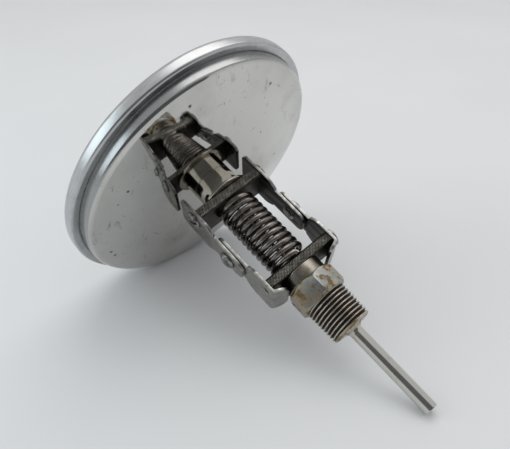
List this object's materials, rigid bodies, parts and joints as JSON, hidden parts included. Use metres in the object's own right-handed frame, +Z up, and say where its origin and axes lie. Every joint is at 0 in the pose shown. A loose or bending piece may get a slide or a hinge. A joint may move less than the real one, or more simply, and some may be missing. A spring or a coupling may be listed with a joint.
{
  "type": "bimetal dial thermometer",
  "caption": "Dial thermometer with a domed back, a coil-spring angle joint between knurled blocks, a hexagon fitting with a tapered pipe thread and a straight stem.",
  "frame": {"origin": "on the stem axis at the seat between the hexagon and the pipe thread", "axes": "+Y along the stem axis, from the dial to the stem tip; the dial faces -Y; +Z up on the dial; X is the axis of the tilting joint"},
  "size_m": [0.1388, 0.1602, 0.1388],
  "materials": {
    "plated_steel": "zinc plated steel, stained",
    "stainless_stem": "polished stainless steel",
    "bimetal": "plain bimetal strip",
    "brass": "turned brass",
    "dark_steel": "knurled, darkened steel",
    "grey_steel": "pressed steel sheet, dull",
    "screw_steel": "darkened steel",
    "spring_steel": "polished spring steel",
    "boss_steel": "turned and polished steel",
    "case_steel": "mirror-bright stainless sheet, stained",
    "bezel_steel": "polished stainless ring",
    "black_rubber": "matte",
    "window_glass": "clear",
    "dial_white": "white dial with black figures",
    "screw_bright": "bright steel",
    "pointer_black": "matte black paint",
    "shaft_steel": "ground steel"
  },
  "bodies": {
    "stem": {"hex_fitting": "plated_steel", "stem_tube": "stainless_stem", "tip_plug": "stainless_stem", "bimetal_helix": "bimetal", "helix_anchor": "brass", "stem_bush": "brass", "neck_bush": "brass", "stem_block": "dark_steel", "stem_plate_left": "grey_steel", "stem_plate_right": "grey_steel", "stem_block_screw": "screw_steel", "pivot_rivets": "screw_steel", "pivot_washers": "dark_steel", "joint_spring": "spring_steel"},
    "bracket": {"head_block": "dark_steel", "head_plate_left": "grey_steel", "head_plate_right": "grey_steel", "head_block_screws": "screw_steel", "swivel_flange": "boss_steel", "retaining_ring": "dark_steel", "stub_bush": "brass"},
    "head": {"case_boss": "boss_steel", "case_back": "case_steel", "bezel_ring": "bezel_steel", "window_gasket": "black_rubber", "window_glass": "window_glass", "dial_plate": "dial_white", "dial_spacers": "brass", "dial_screws": "screw_bright"},
    "pointer": {"pointer": "pointer_black", "pointer_hub": "brass", "head_shaft": "shaft_steel"},
    "lower_shaft": {"stem_shaft": "shaft_steel", "shaft_coupling": "spring_steel"}
  },
  "joints": [
    {"name": "tilt", "type": "hinge", "parent": "stem", "child": "bracket", "pos_m": [0, -0.0426, 0], "axis": [1, 0, 0], "range_deg": [-90, 90], "deforming": ["joint_spring", "shaft_coupling"]},
    {"name": "head_turn", "type": "hinge", "parent": "bracket", "child": "head", "pos_m": [0, -0.0697, 0], "axis": [0, 1, 0], "range_deg": [-180, 180]},
    {"name": "pointer_turn", "type": "hinge", "parent": "head", "child": "pointer", "pos_m": [0, -0.0928, 0], "axis": [0, 1, 0], "range_deg": [-45, 225], "stiffness_Nm_per_rad": 0.001},
    {"name": "shaft_turn", "type": "hinge", "parent": "stem", "child": "lower_shaft", "pos_m": [0, 0.02, 0], "axis": [0, 1, 0], "range_deg": [-45, 225]}
  ],
  "couplings": [
    {"joint": "shaft_turn", "follows": "pointer_turn", "ratio": 1}
  ]
}
